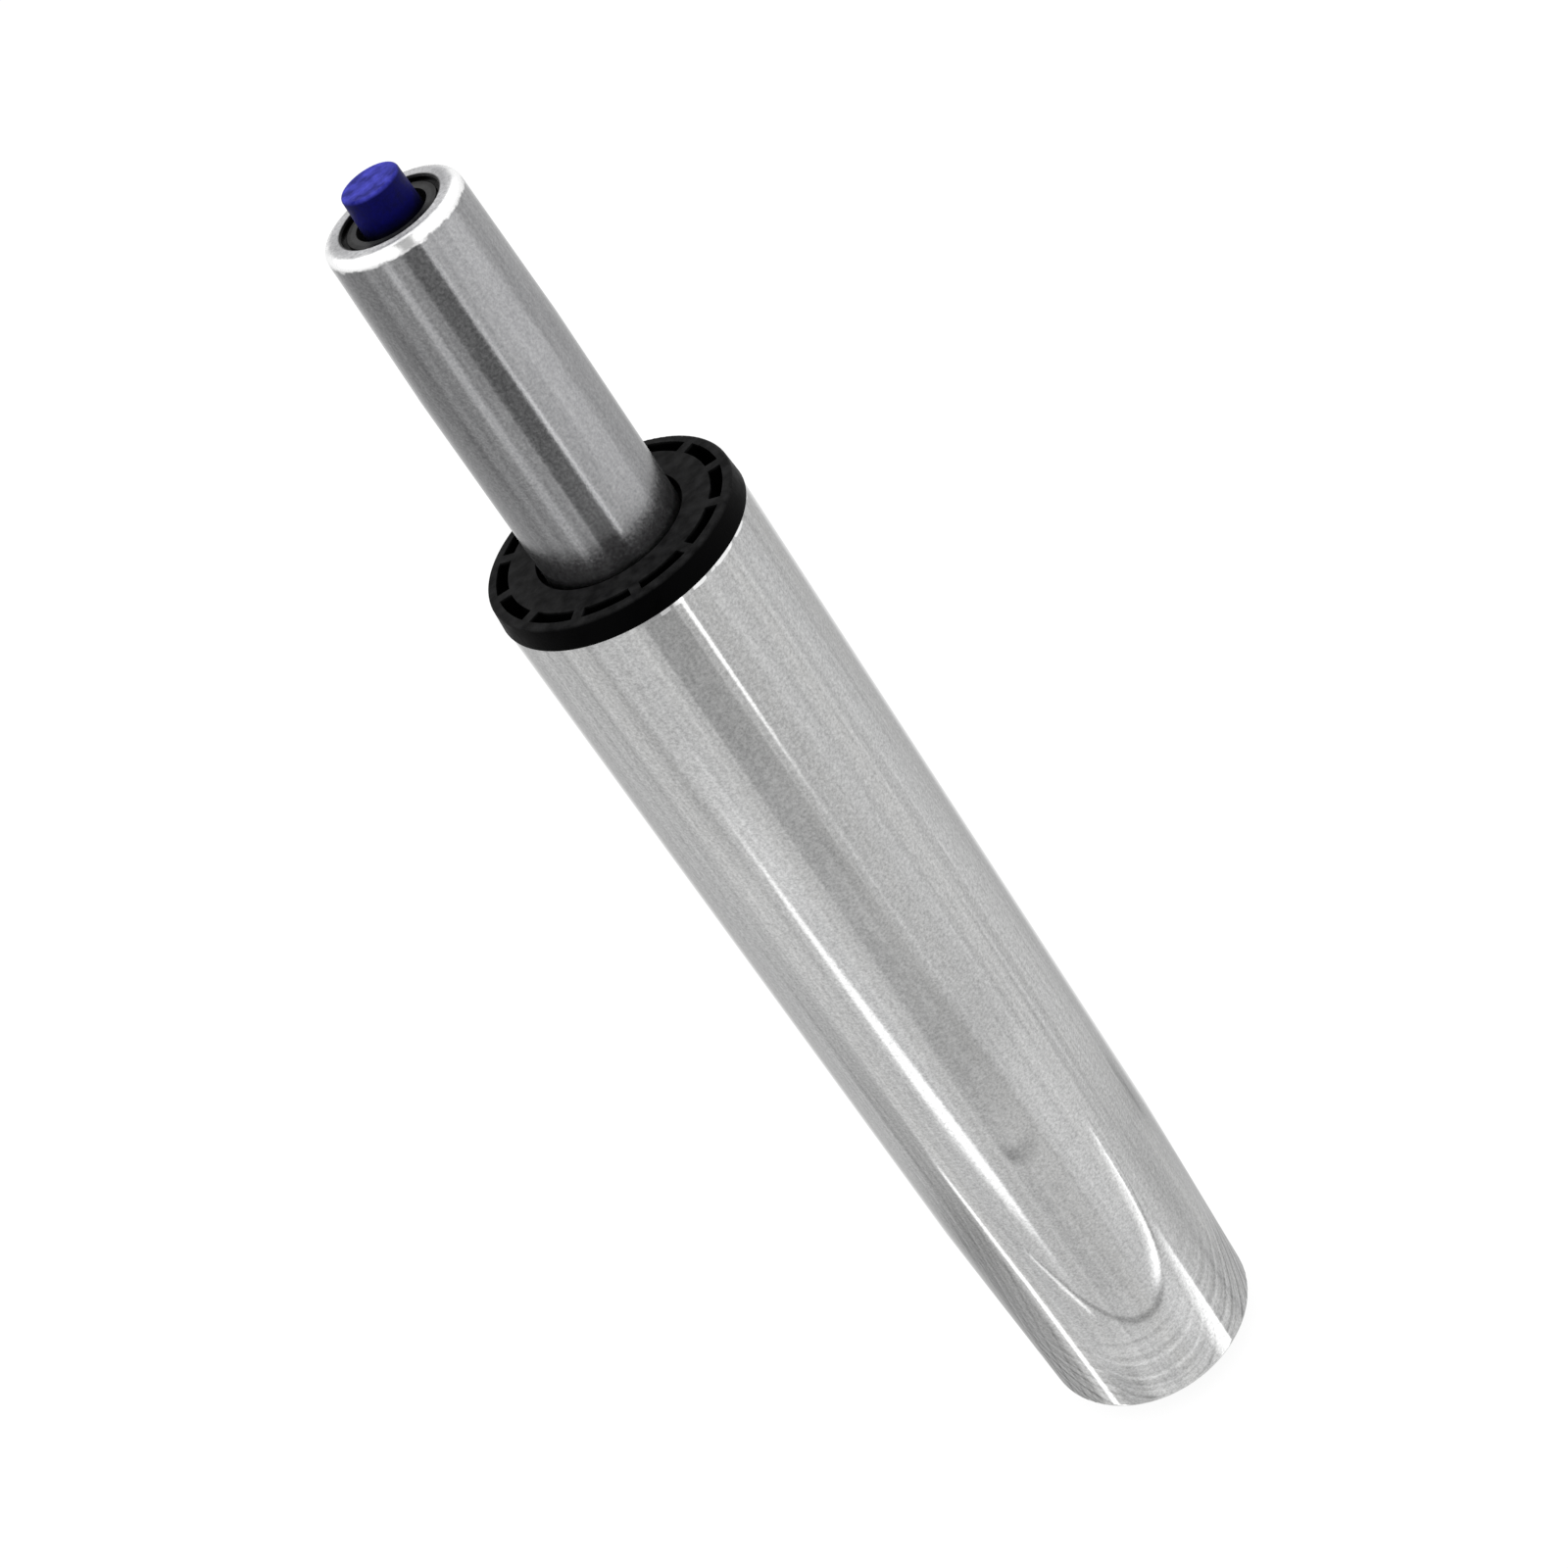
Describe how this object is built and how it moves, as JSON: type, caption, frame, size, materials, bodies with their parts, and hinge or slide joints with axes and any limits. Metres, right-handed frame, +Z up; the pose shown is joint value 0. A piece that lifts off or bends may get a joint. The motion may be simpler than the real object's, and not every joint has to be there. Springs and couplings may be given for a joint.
{
  "type": "chair gas lift cylinder",
  "caption": "Chair gas lift cylinder with a chrome outer column, ribbed guide collar, sliding gas tube and a blue release button on top.",
  "frame": {"origin": "on the cylinder's axis, at the lower end of the outer column tube, where its taper starts", "axes": "+Z up along the axis, from the chair base towards the seat; +X through the middle of one rib of the collar"},
  "size_m": [0.0506, 0.0506, 0.3243],
  "materials": {
    "column_chrome": "polished chrome plating over drawn steel, fine grain along the tube",
    "tube_steel": "satin ground steel, bright on the rolled rim",
    "collar_plastic": "black moulded plastic, fine satin texture",
    "button_plastic": "blue-violet moulded plastic, matt",
    "disc_dark": "dark grey phosphated steel",
    "plain_steel": "turned or pressed steel, lightly oiled",
    "bearing_steel": "hardened and polished bearing steel",
    "rod_chrome": "hard chrome plated, ground",
    "spring_steel": "blackened spring steel",
    "brass": "turned brass, dull",
    "rubber": "black nitrile rubber",
    "white_plastic": "natural acetal, matt"
  },
  "bodies": {
    "column": {"column_tube": "column_chrome", "guide_sleeve": "collar_plastic", "bottom_plate": "plain_steel", "lower_race": "bearing_steel"},
    "bearing": {"bearing_cage": "brass", "bearing_balls": "bearing_steel"},
    "rod": {"piston_rod": "rod_chrome", "piston": "plain_steel", "piston_seal": "rubber", "piston_nut": "plain_steel", "bumper": "rubber", "thrust_washer": "plain_steel", "upper_race": "bearing_steel", "rod_washer": "plain_steel", "retaining_clip": "spring_steel"},
    "cylinder": {"pressure_tube": "tube_steel", "inner_tube": "plain_steel", "rod_guide": "brass", "rod_guide_seal": "rubber", "rod_seal": "rubber", "backing_ring": "white_plastic", "valve_body": "brass", "valve_body_seals": "rubber", "pin_seals": "rubber", "seal_spacers": "white_plastic", "closure_disc": "disc_dark"},
    "button": {"release_button": "button_plastic", "valve_pin": "rod_chrome"}
  },
  "joints": [
    {"name": "swivel", "type": "hinge", "parent": "column", "child": "rod", "pos_m": [0, 0, 0.0084], "axis": [0, 0, 1], "continuous": true},
    {"name": "bearing_turn", "type": "hinge", "parent": "column", "child": "bearing", "pos_m": [0, 0, 0.0084], "axis": [0, 0, 1], "continuous": true},
    {"name": "lift", "type": "slide", "parent": "rod", "child": "cylinder", "axis": [0, 0, 1], "range_m": [0, 0.12]},
    {"name": "release", "type": "slide", "parent": "cylinder", "child": "button", "axis": [0, 0, -1], "range_m": [0, 0.0025], "stiffness_N_per_m": 2000, "springref_m": -0.005}
  ],
  "couplings": [
    {"joint": "bearing_turn", "follows": "swivel", "ratio": 0.5}
  ]
}
